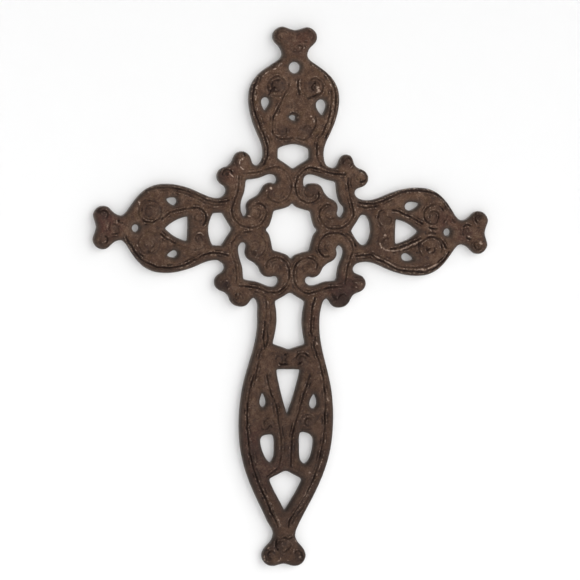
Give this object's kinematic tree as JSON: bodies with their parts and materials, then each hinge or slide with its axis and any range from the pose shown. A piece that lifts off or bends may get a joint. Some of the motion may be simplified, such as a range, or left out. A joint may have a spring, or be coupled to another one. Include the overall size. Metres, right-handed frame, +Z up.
{
  "type": "wall cross",
  "caption": "Flat openwork cast iron cross of scrolls, hearts and volutes with a long lower arm, made to hang on a wall from a nail through its top arm",
  "frame": {"origin": "the middle of the hanging hole in the top arm, in the plane of the flat back", "axes": "+Z up the cross, +X to the right as seen from its carved front, +Y into the wall; the carved face looks along -Y"},
  "size_m": [0.2863, 0.0062, 0.3799],
  "materials": {
    "cast_iron": "dark brown iron with a thin rust and pale wear along its ridges"
  },
  "bodies": {
    "root": {"wall_cross": "cast_iron"}
  },
  "joints": []
}
